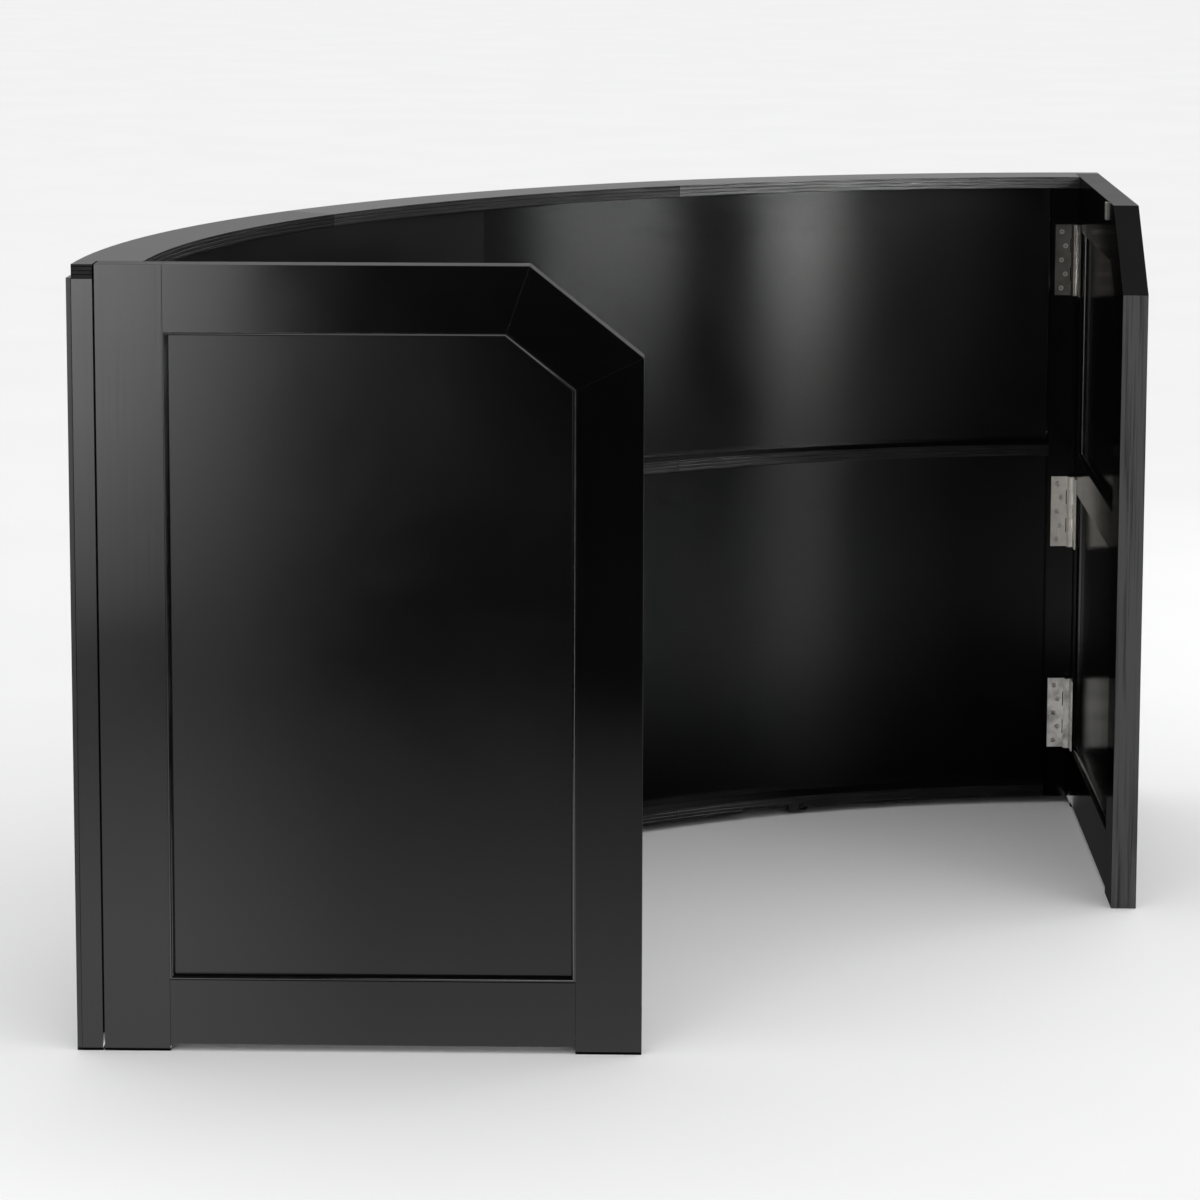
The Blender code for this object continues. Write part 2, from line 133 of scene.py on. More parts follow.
class Paint(Tree):
    """A material's node tree."""

    def __init__(self, name):
        self.material = bpy.data.materials.new(name)
        self.material.use_nodes = True
        super().__init__(self.material.node_tree)
        self.shader = self.tree.nodes["Principled BSDF"]
        self.object_place = self.add("ShaderNodeTexCoord").outputs["Object"]

    def facing(self):
        return self.add("ShaderNodeTexCoord").outputs["Normal"]

    def stretched(self, scale, turn=0.0):
        """Object coordinates turned about Z and scaled along each axis."""
        turned = self.add(
            "ShaderNodeMapping", {"Vector": self.object_place, "Rotation": (0, 0, turn)}
        )
        scaled = self.add(
            "ShaderNodeMapping", {"Vector": turned.outputs["Vector"], "Scale": scale}
        )
        return scaled.outputs["Vector"]

    def noise(self, place, scale=1.0, detail=3.0, roughness=0.5, distortion=0.0):
        sockets = {
            "Vector": place,
            "Scale": scale,
            "Detail": detail,
            "Roughness": roughness,
            "Distortion": distortion,
        }
        return self.add("ShaderNodeTexNoise", sockets).outputs["Fac"]

    def vary(self, noise, low, high):
        """A value that follows a noise between two levels."""
        return self.remap(noise, *NOISE_SPAN, low, high)

    def plus(self, value, noise, spread):
        """A value made to wander by as much as spread, up or down."""
        return self.math("ADD", self.vary(noise, -spread, spread), value)

    def blend(self, factor, first, second):
        mix = self.add("ShaderNodeMix", data_type="RGBA")
        self.feed(mix.inputs["Factor"], factor)
        self.feed(mix.inputs["A"], (*first, 1.0) if isinstance(first, tuple) else first)
        self.feed(mix.inputs["B"], (*second, 1.0) if isinstance(second, tuple) else second)
        return mix.outputs["Result"]

    def bump(self, height, strength, distance, under=None):
        sockets = {"Height": height, "Strength": strength, "Distance": distance}
        if under is not None:
            sockets["Normal"] = under
        return self.add("ShaderNodeBump", sockets).outputs["Normal"]

    def finish(self, **sockets):
        for name, value in sockets.items():
            self.feed(self.shader.inputs[name.replace("_", " ")], value)
        return self.material


# ------------------------------------------------------------------- materials

BLACK_DEEP, BLACK_WORN = (0.0008, 0.0008, 0.0009), (0.0016, 0.0016, 0.0015)
GRAIN_DARK, GRAIN_PALE = (0.026, 0.026, 0.027), (0.062, 0.062, 0.062)
# The pale streak colour on the ply edges stands partly for scraping and partly for painted
# highlight.
PLY_SCRAPED_AND_LIT = (0.030, 0.030, 0.029)
PINE_PALE, PINE_DARK = (0.56, 0.38, 0.21), (0.36, 0.22, 0.11)
CLIP_DARK, CLIP_PALE = (0.004, 0.004, 0.004), (0.010, 0.010, 0.010)
PAPER_DARK, PAPER_PALE = (0.93, 0.93, 0.93), (0.95, 0.95, 0.95)
PAPER_ROUGHNESS = 0.9

PLIES = 7
TOP_WEAR = 0.35  # how much rougher a board is on its upward faces
EDGE_WEAR = 0.20  # and on the free stile's open-grained edge
LINE_WEAR = 0.12  # and a ply edge along its glue lines
FACE_PORES, EDGE_PORES = 0.05, 0.5  # strength of the grain's bumps
GLOSSY_COAT = 1.0


def black_board(name, grain_scale, turn=0.0, roughness=0.14, end_facing=None):
    """Smooth satin black paint; open grain only shows on the edge that faces end_facing."""
    n = Paint(name)
    grain_place = n.stretched(grain_scale, turn)
    grain = n.noise(grain_place, detail=5.0, roughness=0.62, distortion=0.25)
    pore = n.remap(grain, 0.36, 0.52)
    cloud = n.noise(n.object_place, 5.0, detail=4.0, roughness=0.55)
    peel = n.noise(n.object_place, 900.0, detail=1.0)
    colour = n.blend(n.remap(grain, 0.35, 0.65), BLACK_DEEP, BLACK_WORN)
    rough = n.plus(roughness, cloud, 0.025)
    normal = n.bump(peel, 0.06, 0.0002)
    facing = n.facing()
    on_top = n.remap(n.height(facing), 0.3, 0.6)
    rough = n.math("ADD", rough, n.math("MULTIPLY", on_top, TOP_WEAR))
    pores = FACE_PORES
    if end_facing:
        on_edge = n.remap(n.dot(facing, end_facing), 0.90, 0.97)
        pores = n.remap(on_edge, 0.0, 1.0, FACE_PORES, EDGE_PORES)
        rough = n.math("ADD", rough, n.math("MULTIPLY", on_edge, EDGE_WEAR))
        bare = n.blend(pore, GRAIN_DARK, GRAIN_PALE)
        colour = n.blend(on_edge, colour, bare)
    normal = n.bump(pore, pores, 0.0003, normal)
    return n.finish(Base_Color=colour, Roughness=rough, Normal=normal)


def black_ply(name, roughness, cloudiness, ripple=0.1):
    """Rolled black paint on a ply face, with faint lap marks and patches of sheen."""
    n = Paint(name)
    laps = n.noise(n.stretched((3.0, 3.0, 160.0)), detail=3.0, roughness=0.55)
    cloud = n.noise(n.object_place, 3.2, detail=5.0, roughness=0.6, distortion=0.4)
    peel = n.noise(n.object_place, 700.0, detail=1.0)
    colour = n.blend(n.remap(cloud, 0.35, 0.7), BLACK_DEEP, BLACK_WORN)
    rough = n.plus(roughness, cloud, cloudiness)
    normal = n.bump(peel, 0.08, 0.0002)
    normal = n.bump(laps, 0.06, 0.0002, normal)
    normal = n.bump(n.noise(n.object_place, 20.0, detail=2.0), ripple, 0.0004, normal)
    return n.finish(Base_Color=colour, Roughness=rough, Normal=normal)


def black_ply_edge(name, thickness, low, sheen, ledge_roughness, roughness=0.34):
    """Painted plies seen edge-on: fine level lines with torn, open end grain between them."""
    n = Paint(name)
    phase = n.math("SUBTRACT", n.height(n.object_place), low)
    phase = n.math("MULTIPLY", phase, PLIES / thickness)
    wander = n.noise(n.stretched((9.0, 9.0, 1.0)), detail=2.0)
    phase = n.math("ADD", phase, n.vary(wander, -0.12, 0.12))
    saw = n.math("PINGPONG", phase, 1.0)
    line = n.remap(saw, 0.0, 0.30)
    torn = n.noise(n.stretched((220.0, 220.0, 900.0)), detail=3.0, roughness=0.6)
    colour = n.blend(n.remap(torn, 0.35, 0.7), BLACK_DEEP, BLACK_WORN)
    level = n.math("ABSOLUTE", n.height(n.facing()))
    on_ledge = n.remap(level, 0.90, 0.99)
    # Pale streaks on the inner edge: partly scraping of the end grain, partly painted highlight;
    # sheen, set per rib piece, scales how much of them shows.
    streak = n.noise(n.stretched((16.0, 16.0, 480.0)), detail=5.0, roughness=0.7)
    streak = n.math("MULTIPLY", streak, n.remap(on_ledge, 0.0, 1.0, 1.0, 0.0))
    scraped_and_lit = n.math("MULTIPLY", n.remap(streak, 0.50, 0.62), sheen)
    colour = n.blend(scraped_and_lit, colour, PLY_SCRAPED_AND_LIT)
    rough = n.math("ADD", n.vary(torn, -0.06, 0.08), roughness)
    rough = n.math("ADD", rough, n.remap(line, 0.0, 1.0, LINE_WEAR, 0.0))
    rough = n.remap(on_ledge, 0.0, 1.0, rough, ledge_roughness)
    normal = n.bump(torn, 0.22, 0.0003)
    normal = n.bump(line, 0.8, 0.0006, normal)
    normal = n.bump(streak, 0.5, 0.0010, normal)
    # sheen also sets each piece's specular level, which makes the rib pieces lit and shaded copies
    # of one finish.
    n.shader.inputs["Specular IOR Level"].default_value = sheen
    return n.finish(Base_Color=colour, Roughness=rough, Normal=normal)


def bead_paint(name):
    """Thick, glossier paint that has pooled on the moulding round each recess."""
    n = Paint(name)
    runs = n.noise(n.object_place, 60.0, detail=3.0, roughness=0.5)
    colour = n.blend(n.remap(runs, 0.35, 0.65), BLACK_DEEP, BLACK_WORN)
    rough = n.vary(runs, 0.10, 0.18)
    normal = n.bump(runs, 0.20, 0.0006)
    n.shader.inputs["Specular IOR Level"].default_value = GLOSSY_COAT
    return n.finish(Base_Color=colour, Roughness=rough, Normal=normal)


def plated_steel(name, colour, roughness, tarnish_and_shade=0.55, metallic=1.0, scuff=0.04):
    """Plated steel: fine brushed lines, blotchy darker marks and slight mottling; the marks are
    handling marks, and on the hinge leaves partly painted patches of reflection.
    """
    n = Paint(name)
    lines = n.noise(n.stretched((700.0, 700.0, 25.0)), detail=3.0, roughness=0.6)
    marks = n.noise(n.object_place, 38.0, detail=3.0, roughness=0.55, distortion=0.2)
    dark = tuple(tarnish_and_shade * c for c in colour)
    tint = n.blend(n.remap(marks, 0.42, 0.72), colour, dark)
    rough = n.plus(roughness, marks, scuff)
    normal = n.bump(lines, 0.05, 0.0002)
    return n.finish(Base_Color=tint, Metallic=metallic, Roughness=rough, Normal=normal)


def bare_pine(name):
    """Plain softwood inside the wall."""
    n = Paint(name)
    grain_place = n.stretched((70.0, 70.0, 2.5))
    grain = n.noise(grain_place, detail=5.0, roughness=0.6, distortion=0.5)
    colour = n.blend(n.vary(grain, 0.0, 1.0), PINE_PALE, PINE_DARK)
    rough = n.vary(grain, 0.6, 0.75)
    normal = n.bump(grain, 0.25, 0.0004)
    return n.finish(Base_Color=colour, Roughness=rough, Normal=normal)


def moulded_black(name):
    """Fine-textured black plastic for the clip."""
    n = Paint(name)
    spark = n.noise(n.object_place, 1500.0, detail=2.0)
    colour = n.blend(n.remap(spark, 0.35, 0.65), CLIP_DARK, CLIP_PALE)
    rough = n.vary(spark, 0.38, 0.52)
    normal = n.bump(spark, 0.3, 0.0002)
    return n.finish(Base_Color=colour, Roughness=rough, Normal=normal)


def pale_paper(name):
    """The studio floor, very faintly uneven."""
    n = Paint(name)
    tone = n.noise(n.object_place, 1.5, detail=2.0)
    colour = n.blend(n.vary(tone, 0.0, 1.0), PAPER_DARK, PAPER_PALE)
    return n.finish(Base_Color=colour, Roughness=PAPER_ROUGHNESS)


# -------------------------------------------------------------- dressing nodes


def dress(node, material, softness):
    """Gives a CAD node its finish and slightly eased edges; its shape stays."""
    piece = frame["nodes"][node]
    piece.data.materials.clear()
    piece.data.materials.append(material)
    faces = piece.data.polygons
    faces.foreach_set("use_smooth", [True] * len(faces))
    faces.foreach_set("material_index", [0] * len(faces))
    weld = piece.modifiers.new("weld", "WELD")
    weld.merge_threshold = WELD_DISTANCE
    flat = piece.modifiers.new("flat", "DECIMATE")
    flat.decimate_type = "DISSOLVE"
    flat.angle_limit = FLAT_BELOW
    ease = piece.modifiers.new("ease", "BEVEL")
    ease.width = softness
    ease.segments = 2
    ease.limit_method = "ANGLE"
    ease.angle_limit = EASED_ABOVE
    normals = piece.modifiers.new("normals", "WEIGHTED_NORMAL")
    normals.keep_sharp = False


# -------------------------------------------------------------- wing geometry


def joint_pin(side_name):
    joint = next(j for j in frame["joints"] if j["child"] == f"{side_name}_wing")
    return Vector(joint["pos_m"]) * Vector((1, 1, 0))


def upright_frame(along, out, origin):
    """Matrix from (along, out, Z) to the row frame."""
    matrix = Matrix((along, out, Vector(UP))).transposed().to_4x4()
    matrix.translation = origin
    return matrix


def wing_frame(side_name):
    """Matrix from (U, V, Z) on a wing to the row frame."""
    side = SIDES[side_name]
    along = Vector((-side * math.sin(WING_ANGLE), -math.cos(WING_ANGLE), 0))
    out = Vector((side * math.cos(WING_ANGLE), -math.sin(WING_ANGLE), 0))
    return upright_frame(along, out, joint_pin(side_name))


def wall_end_frame(side_name):
    """The same for the end stile's face, U from the pin along the wall, V into the wood."""
    side = SIDES[side_name]
    leaf = frame["nodes"][f"{side_name}_top_hinge_wall_leaf"]
    pin = joint_pin(side_name)
    corners = (v.co * Vector((1, 1, 0)) - pin for v in leaf.data.vertices)
    far = max(corners, key=lambda corner: corner.length)
    depth = math.sqrt(max(far.length_squared - LEAF_REACH**2, 0))
    heading = math.atan2(far.y, far.x) + side * math.atan2(depth, LEAF_REACH)
    along = Vector((math.cos(heading), math.sin(heading), 0))
    wood = Vector((-along.y, along.x, 0)) * -side
    return upright_frame(along, wood, pin)


def local_points(node, matrix):
    """A CAD node's points in a wing's own frame."""
    inverse = matrix.inverted()
    return [inverse @ v.co for v in frame["nodes"][node].data.vertices]


def local_box(node, matrix):
    """Lowest and highest corner of a CAD node in a wing's own frame."""
    points = local_points(node, matrix)
    low = Vector(min(p[i] for p in points) for i in range(3))
    high = Vector(max(p[i] for p in points) for i in range(3))
    return low, high


def new_piece(name, work, material, body, smooth=True):
    """An object from a bmesh in row-frame metres, welded, riding on a body."""
    bmesh.ops.remove_doubles(work, verts=work.verts, dist=MERGE_DISTANCE)
    bmesh.ops.recalc_face_normals(work, faces=work.faces)
    mesh = bpy.data.meshes.new(name)
    work.to_mesh(mesh)
    work.free()
    mesh.polygons.foreach_set("use_smooth", [smooth] * len(mesh.polygons))
    mesh.materials.append(material)
    piece = bpy.data.objects.new(name, mesh)
    bpy.context.scene.collection.objects.link(piece)
    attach(piece, body)
    return piece


def split_sharp(piece, angle):
    piece.modifiers.new("sharp", "EDGE_SPLIT").split_angle = angle


def recess_outline(low, high, slant=None):
    """Corners of a recess, clockwise from low near the hinge; slant is the cut corner."""
    corners = [Vector((low[0], low[1])), Vector((low[0], high[1]))]
    if slant:
        corners += [Vector((slant[0], high[1])), Vector((high[0], slant[1]))]
    else:
        corners += [Vector((high[0], high[1]))]
    return corners + [Vector((high[0], low[1]))]


def bead_profile():
    """(in from the member, up from the panel) points of an ovolo."""
    points = [(0.0, BEAD_RISE), (BEAD_LAND, BEAD_RISE)]
    across, rise = BEAD_WIDTH - BEAD_LAND, BEAD_RISE - BEAD_LAND
    for i in range(1, ARC_STEPS + 1):
        angle = math.pi / 2 * i / ARC_STEPS
        points.append((BEAD_LAND + across * math.sin(angle), BEAD_LAND + rise * math.cos(angle)))
    return points + [(BEAD_WIDTH, 0.0), (0.0, 0.0)]


def add_bead(name, corners, floor_v, face, matrix, body):
    """A mitred moulding swept round a recess's corners, closed on itself."""
    work = bmesh.new()
    count = len(corners)
    rings = []
    for i, corner in enumerate(corners):
        before = (corner - corners[i - 1]).normalized()
        after = (corners[(i + 1) % count] - corner).normalized()
        inward_before = Vector((before.y, -before.x))
        inward_after = Vector((after.y, -after.x))
        mitre = (inward_before + inward_after).normalized()
        mitre /= mitre.dot(inward_before)
        ring = []
        for across, rise in bead_profile():
            place = corner + mitre * across
            ring.append(work.verts.new(matrix @ Vector((place.x, floor_v + face * rise, place.y))))
        rings.append(ring)
    for i in range(count):
        first, second = rings[i], rings[(i + 1) % count]
        for j in range(len(first)):
            k = (j + 1) % len(first)
            work.faces.new((first[j], first[k], second[k], second[j]))
    split_sharp(new_piece(name, work, BEAD, body), BEAD_SPLIT)


def slanted_corner(node, matrix, far, head):
    """(U where the recess's head ends, Z where its side ends) along the cut-off corner."""
    points = local_points(node, matrix)
    on_head = min(p.x for p in points if abs(p.z - head) < TOUCHING)
    on_side = min(p.z for p in points if abs(p.x - far) < TOUCHING)
    return on_head, on_side


def add_wing_beads(side_name):
    """Mouldings round the recess of each face; the inner face's is in two parts."""
    matrix = wing_frame(side_name)
    member = f"{side_name}_wing_"
    near = local_box(member + "hinge_stile", matrix)[1].x
    far = local_box(member + "free_stile", matrix)[0].x
    floor = local_box(member + "bottom_rail", matrix)[1].z
    head = local_box(member + "top_rail", matrix)[0].z
    rail = local_box(member + "middle_rail", matrix)
    panel = local_box(member + "panel", matrix)
    slant = slanted_corner(member + "corner_rail", matrix, far, head)
    body = f"{side_name}_wing"
    outer = recess_outline((near, floor), (far, head), slant)
    add_bead(f"{member}bead_outer", outer, panel[1].y, 1, matrix, body)
    lower = recess_outline((near, floor), (far, rail[0].z))
    add_bead(f"{member}bead_inner_low", lower, panel[0].y, -1, matrix, body)
    upper = recess_outline((near, rail[1].z), (far, head), slant)
    add_bead(f"{member}bead_inner_high", upper, panel[0].y, -1, matrix, body)


def cove_outline(edge, under, turn):
    """(U, Z) points of a quarter-round fillet in the corner at (edge, under)."""
    outline = [Vector((edge, under - COVE_RADIUS)), Vector((edge, under))]
    outline.append(Vector((edge + turn * COVE_RADIUS, under)))
    for i in range(1, ARC_STEPS):
        angle = math.pi / 2 * i / ARC_STEPS
        across = COVE_RADIUS * (1 - math.sin(angle))
        down = COVE_RADIUS * (1 - math.cos(angle))
        outline.append(Vector((edge + turn * across, under - down)))
    return outline


def add_foot_coves(side_name):
    """Small fillets where the bottom rail meets the stiles' feet."""
    matrix = wing_frame(side_name)
    member = f"{side_name}_wing_"
    stile = local_box(member + "hinge_stile", matrix)
    free = local_box(member + "free_stile", matrix)
    under = local_box(member + "bottom_rail", matrix)[0].z
    inside, outside = stile[0].y + COVE_INSET, stile[1].y - COVE_INSET
    for foot, edge, turn in (("hinge", stile[1].x, 1), ("free", free[0].x, -1)):
        outline = cove_outline(edge, under, turn)
        work = bmesh.new()
        near = [work.verts.new(matrix @ Vector((p.x, inside, p.y))) for p in outline]
        away = [work.verts.new(matrix @ Vector((p.x, outside, p.y))) for p in outline]
        work.faces.new(near)
        work.faces.new(list(reversed(away)))
        for i in range(len(outline)):
            j = (i + 1) % len(outline)
            work.faces.new((near[j], near[i], away[i], away[j]))
        name, body = f"{member}foot_cove_{foot}", f"{side_name}_wing"
        new_piece(name, work, BOARD_UPRIGHT, body, smooth=False)


def screw_rings():
    """(radius, how far up) of a screw head's rings, from the sunk foot to the flat top."""
    return (
        (SCREW_RADIUS, -SCREW_SINK),
        (SCREW_RADIUS, SCREW_PROUD * 0.2),
        (SCREW_RADIUS * 0.94, SCREW_PROUD * 0.8),
        (SCREW_RADIUS * 0.70, SCREW_PROUD),
    )


def screw_cross(turn):
    """(U, Z) points round a cross slot, its arms turned from the axes."""
    corners = ((SLOT_HALF, SLOT_HALF), (SLOT_HALF, SLOT_REACH), (-SLOT_HALF, SLOT_REACH))
    cross = []
    for quarter in range(4):
        angle = quarter * math.pi / 2 + turn
        for across, along in corners:
            u = along * math.cos(angle) + across * math.sin(angle)
            z = along * math.sin(angle) - across * math.cos(angle)
            cross.append((u, z))
    return cross


def screw_head(work, matrix, centre, turn):
    """A countersunk cross-head screw, its axis along the frame's V axis."""

    def point(u, z, up):
        return work.verts.new(matrix @ Vector((centre[0] + u, centre[1] - up, centre[2] + z)))

    rings = []
    for radius, up in screw_rings():
        ring = []
        for i in range(SCREW_SPOKES):
            angle = 2 * math.pi * i / SCREW_SPOKES
            ring.append(point(radius * math.cos(angle), radius * math.sin(angle), up))
        rings.append(ring)
    for first, second in zip(rings, rings[1:]):
        for i in range(SCREW_SPOKES):
            j = (i + 1) % SCREW_SPOKES
            work.faces.new((first[i], first[j], second[j], second[i]))
    work.faces.new(list(reversed(rings[0])))
    cross = screw_cross(turn)
    pit_up = SCREW_PROUD - SLOT_DEPTH
    top = [point(u, z, SCREW_PROUD) for u, z in cross]
    pit = [point(u * SLOT_TAPER, z * SLOT_TAPER, pit_up) for u, z in cross]
    for i in range(len(cross)):
        j = (i + 1) % len(cross)
        work.faces.new((top[i], top[j], pit[j], pit[i]))
    work.faces.new(pit)
    edges = []
    for loop in (rings[-1], top):
        edges += [work.edges.get((a, b)) for a, b in zip(loop, loop[1:] + loop[:1])]
    bmesh.ops.triangle_fill(work, use_beauty=True, edges=edges)


def add_leaf_screws(name, node, matrix, body):
    """One piece holding a leaf's zigzag of screws."""
    low, high = local_box(node, matrix)
    pitch = (high.z - low.z - 2 * LEAF_END_MARGIN) / (SCREWS_PER_LEAF - 1)
    work = bmesh.new()
    for i in range(SCREWS_PER_LEAF):
        centre = (SCREW_ROWS[i % 2], LEAF_FRONT, low.z + LEAF_END_MARGIN + i * pitch)
        screw_head(work, matrix, centre, FIRST_SLOT_TURN + SLOT_TURN * i)
    split_sharp(new_piece(name, work, SCREW, body), SCREW_SPLIT)


# --------------------------------------------------------------------- making

# Waves a metre of the paint's grain, across and along a board, and on the free stiles.
GRAIN_ACROSS, GRAIN_ALONG = 150.0, 3.0
OPEN_GRAIN = (260.0, 260.0, 4.0)

BOARD_UPRIGHT = black_board("paint_upright_grain", (GRAIN_ACROSS, GRAIN_ACROSS, GRAIN_ALONG))
FREE_STILE = {
    name: black_board(
        f"paint_free_stile_{name}", OPEN_GRAIN, end_facing=(-side * DIAGONAL, -DIAGONAL, 0)
    )
    for name, side in SIDES.items()
}
BOARD_LEVEL = {
    "left": black_board(
        "paint_level_grain_left", (GRAIN_ALONG, GRAIN_ACROSS, GRAIN_ACROSS), WING_ANGLE
    ),
    "right": black_board(
        "paint_level_grain_right", (GRAIN_ACROSS, GRAIN_ALONG, GRAIN_ACROSS), WING_ANGLE
    ),
}
PANEL = black_ply("paint_panel", roughness=0.20, cloudiness=0.03)
SKIN = {
    "left": black_ply("paint_skin_left", roughness=0.31, cloudiness=0.03),
    "right": black_ply("paint_skin_right", roughness=0.18, cloudiness=0.04),
}
# How much painted sheen each rib piece gets (its specular level and share of pale streaks, rising
# to the right along the top rib as painted highlight), and how rough the ribs' level faces are.
RIB_PAINTED_SHEEN = {
    "top": {"left": 0.2, "centre": 0.55, "right": 1.0},
    "middle": dict.fromkeys(THIRDS, 0.42),
    "bottom": dict.fromkeys(THIRDS, 0.42),
}
LEDGE_ROUGHNESS = {"top": 0.36, "middle": 0.75, "bottom": 0.75}
BEAD = bead_paint("paint_bead")
# The hinge leaves are lit and shaded copies of one steel, level by level: the top ones darker, the
# lower ones paler and less metallic, with darker blotches on the bottom ones, painting in the
# reflections each hinge shows.
LEAF_STEEL_PAINTED_LIGHT = {
    "top": plated_steel("leaf_steel_top", (0.36, 0.34, 0.31), 0.32),
    "middle": plated_steel(
        "leaf_steel_middle", (0.90, 0.86, 0.79), 0.38, tarnish_and_shade=0.8, metallic=0.55
    ),
    "bottom": plated_steel(
        "leaf_steel_bottom", (1.0, 0.98, 0.94), 0.36, tarnish_and_shade=0.45, metallic=0.2
    ),
}
CATCH_STEEL = plated_steel("catch_steel", (0.92, 0.90, 0.86), 0.32, tarnish_and_shade=0.8)
PIN_STEEL = plated_steel("pin_steel", (0.80, 0.77, 0.72), 0.20)
SCREW = plated_steel("screw_steel", (0.94, 0.92, 0.88), 0.33, tarnish_and_shade=0.8)
PINE = bare_pine("bare_pine")
CLIP = moulded_black("moulded_black")


def dress_wall():
    for level in LEVELS:
        for place in THIRDS:
            node = f"{level}_rib_{place}"
            low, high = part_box(node)
            edge = black_ply_edge(
                f"paint_{node}",
                thickness=high.z - low.z,
                low=low.z,
                sheen=RIB_PAINTED_SHEEN[level][place],
                ledge_roughness=LEDGE_ROUGHNESS[level],
            )
            dress(node, edge, EDGE_SOFTNESS["ply"])
    for side in SIDES:
        for skin in ("outer_skin", "inner_skin_upper", "inner_skin_lower"):
            dress(f"{skin}_{side}", SKIN[side], EDGE_SOFTNESS["ply"])
        for post in ("end_post", "end_stile"):
            dress(f"{post}_{side}", BOARD_UPRIGHT, EDGE_SOFTNESS["board"])
    for bay in ("upper", "lower"):
        for place in THIRDS:
            dress(f"stud_{bay}_{place}", PINE, EDGE_SOFTNESS["ply"])
    dress("cable_clip", CLIP, EDGE_SOFTNESS["steel"])


def dress_wing(side):
    wing = f"{side}_wing"
    dress(f"{wing}_hinge_stile", BOARD_UPRIGHT, EDGE_SOFTNESS["board"])
    dress(f"{wing}_free_stile", FREE_STILE[side], EDGE_SOFTNESS["board"])
    for rail in ("top_rail", "corner_rail", "bottom_rail", "middle_rail"):
        dress(f"{wing}_{rail}", BOARD_LEVEL[side], EDGE_SOFTNESS["board"])
    dress(f"{wing}_panel", PANEL, EDGE_SOFTNESS["ply"])
    dress(f"{wing}_catch_plate", CATCH_STEEL, EDGE_SOFTNESS["steel"])
    add_wing_beads(side)
    add_foot_coves(side)


def dress_hinges(side):
    wing, wall = (wing_frame(side), f"{side}_wing"), (wall_end_frame(side), "wall")
    for level in LEVELS:
        hinge = f"{side}_{level}_hinge"
        dress(f"{hinge}_wall_leaf", LEAF_STEEL_PAINTED_LIGHT[level], EDGE_SOFTNESS["steel"])
        dress(f"{hinge}_wing_leaf", LEAF_STEEL_PAINTED_LIGHT[level], EDGE_SOFTNESS["steel"])
        dress(f"{hinge}_pin", PIN_STEEL, EDGE_SOFTNESS["steel"])
        add_leaf_screws(f"{side}_{level}_wing_leaf_screws", f"{hinge}_wing_leaf", *wing)
        add_leaf_screws(f"{side}_{level}_wall_leaf_screws", f"{hinge}_wall_leaf", *wall)


# ----------------------------------------------------------- camera and studio

FLOOR_SIZE, FLOOR_DROP = 80.0, 0.0005

# What reflections see of the world: a white backdrop this way, and a dark room.
BACKDROP_TOWARDS, BACKDROP_EDGE = (0.35, 0.94, 0.0), (0.5, 0.9)
BACKDROP_LEVEL, ROOM_LEVEL = 0.8, 0.03
HORIZON_EDGE, BELOW_HORIZON = (-0.06, 0.0), 0.04


def add_camera():
    data = bpy.data.cameras.new("camera")
    data.sensor_width = CAMERA_SENSOR
    data.lens = CAMERA_LENS
    data.shift_y = CAMERA_SHIFT_Y
    data.clip_end = CAMERA_FAR
    camera = bpy.data.objects.new("camera", data)
    bpy.context.scene.collection.objects.link(camera)
    heading, tilt, roll = (math.radians(a) for a in (CAMERA_HEADING, CAMERA_TILT, CAMERA_ROLL))
    turn = Matrix.Rotation(heading, 4, "Z") @ Matrix.Rotation(math.pi / 2 + tilt, 4, "X")
    camera.matrix_world = Matrix.Translation(CAMERA_PLACE) @ turn @ Matrix.Rotation(roll, 4, "Z")
    bpy.context.scene.camera = camera


def add_floor():
    bpy.ops.mesh.primitive_plane_add(size=FLOOR_SIZE, location=(0, 0, -FLOOR_DROP))
    floor = bpy.context.object
    floor.name = "studio_floor"
    floor.data.materials.append(pale_paper("pale_paper"))
    floor.visible_glossy = False


def add_world():
    """Even white for the eye; in reflections, a white backdrop behind and a dark room in front."""
    world = bpy.data.worlds.new("studio")
    bpy.context.scene.world = world
    world.use_nodes = True
    world.node_tree.nodes.clear()
    n = Tree(world.node_tree)
    way = n.add("ShaderNodeTexCoord").outputs["Generated"]
    backdrop = n.remap(
        n.dot(way, BACKDROP_TOWARDS),
        *BACKDROP_EDGE,
        ROOM_LEVEL,
        BACKDROP_LEVEL,
        interpolation_type="SMOOTHSTEP",
    )
    horizon = n.remap(n.height(way), *HORIZON_EDGE, BELOW_HORIZON, 1.0)
    reflected = n.math("MULTIPLY", backdrop, horizon)
    glossy = n.add("ShaderNodeLightPath").outputs["Is Glossy Ray"]
    level = n.add("ShaderNodeMix", {"Factor": glossy, "A": 1.0, "B": reflected})
    strength = level.outputs["Result"]
    white = n.add("ShaderNodeBackground", {"Color": (1, 1, 1, 1), "Strength": strength})
    n.add("ShaderNodeOutputWorld", {"Surface": white.outputs["Background"]})


# --------------------------------------------------------------------- lights

HERE = (0, 0, 0)  # a target for boxes that are then laid flat
SIDE_GLOW_TURN = math.radians(51.5)
SIDE_GLOW_ALONG = (0.6225, 0.7826)  # sizes of the parts of its length in X and Y


class Ramp(NamedTuple):
    """A change of a light's strength along an axis, from start to stop in metres."""

    axis: tuple
    start: float
    stop: float
    at_start: float
    at_stop: float
    power: float = 1.0


